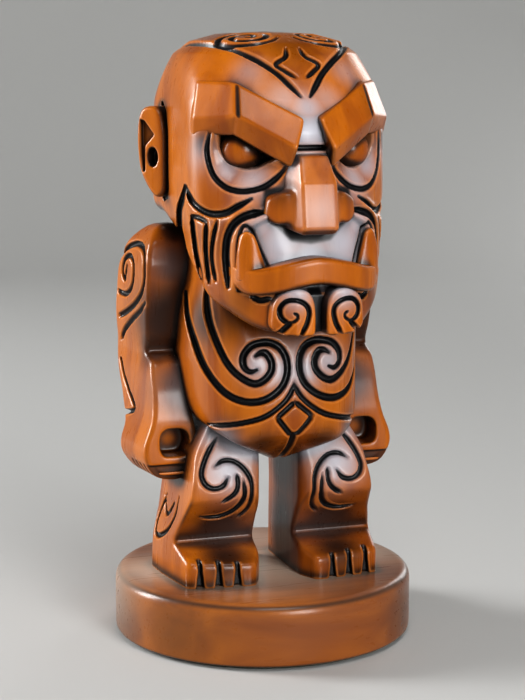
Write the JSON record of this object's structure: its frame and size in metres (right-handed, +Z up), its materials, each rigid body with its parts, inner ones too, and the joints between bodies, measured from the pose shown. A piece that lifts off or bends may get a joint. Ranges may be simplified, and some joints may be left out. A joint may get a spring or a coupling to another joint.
{
  "type": "tiki figure",
  "caption": "Carved wooden tiki figure with a large scowling tusked head, hanging arms and spiral grooves, standing on a round turned base.",
  "frame": {"origin": "centre of the round base's underside, on the surface that the figure stands on", "axes": "+Z up through the crown, -Y the way the figure faces, +X towards the figure's left hand"},
  "size_m": [0.152, 0.164, 0.3037],
  "materials": {
    "carved_wood": "stained and lacquered carved hardwood, dark stain left in the grooves",
    "base_wood": "turned hardwood, stained and lacquered",
    "dowel_wood": "plain beech dowel, glued",
    "screw_steel": "zinc plated wood screw",
    "felt": "self-adhesive felt"
  },
  "bodies": {
    "root": {"base_disc": "base_wood", "felt_pad": "felt", "base_screws": "screw_steel", "leg_right": "carved_wood", "leg_left": "carved_wood", "torso": "carved_wood", "arm_right": "carved_wood", "arm_left": "carved_wood", "head": "carved_wood", "ear_right": "carved_wood", "ear_left": "carved_wood", "brow_right": "carved_wood", "brow_left": "carved_wood", "nose": "carved_wood", "eye_right": "carved_wood", "eye_left": "carved_wood", "tusk_right": "carved_wood", "tusk_left": "carved_wood", "lower_lip": "carved_wood", "chin_curl_right": "carved_wood", "chin_curl_left": "carved_wood", "neck_dowel": "dowel_wood", "shoulder_dowel_right": "dowel_wood", "shoulder_dowel_left": "dowel_wood", "hip_dowel_right": "dowel_wood", "hip_dowel_left": "dowel_wood"}
  },
  "joints": []
}
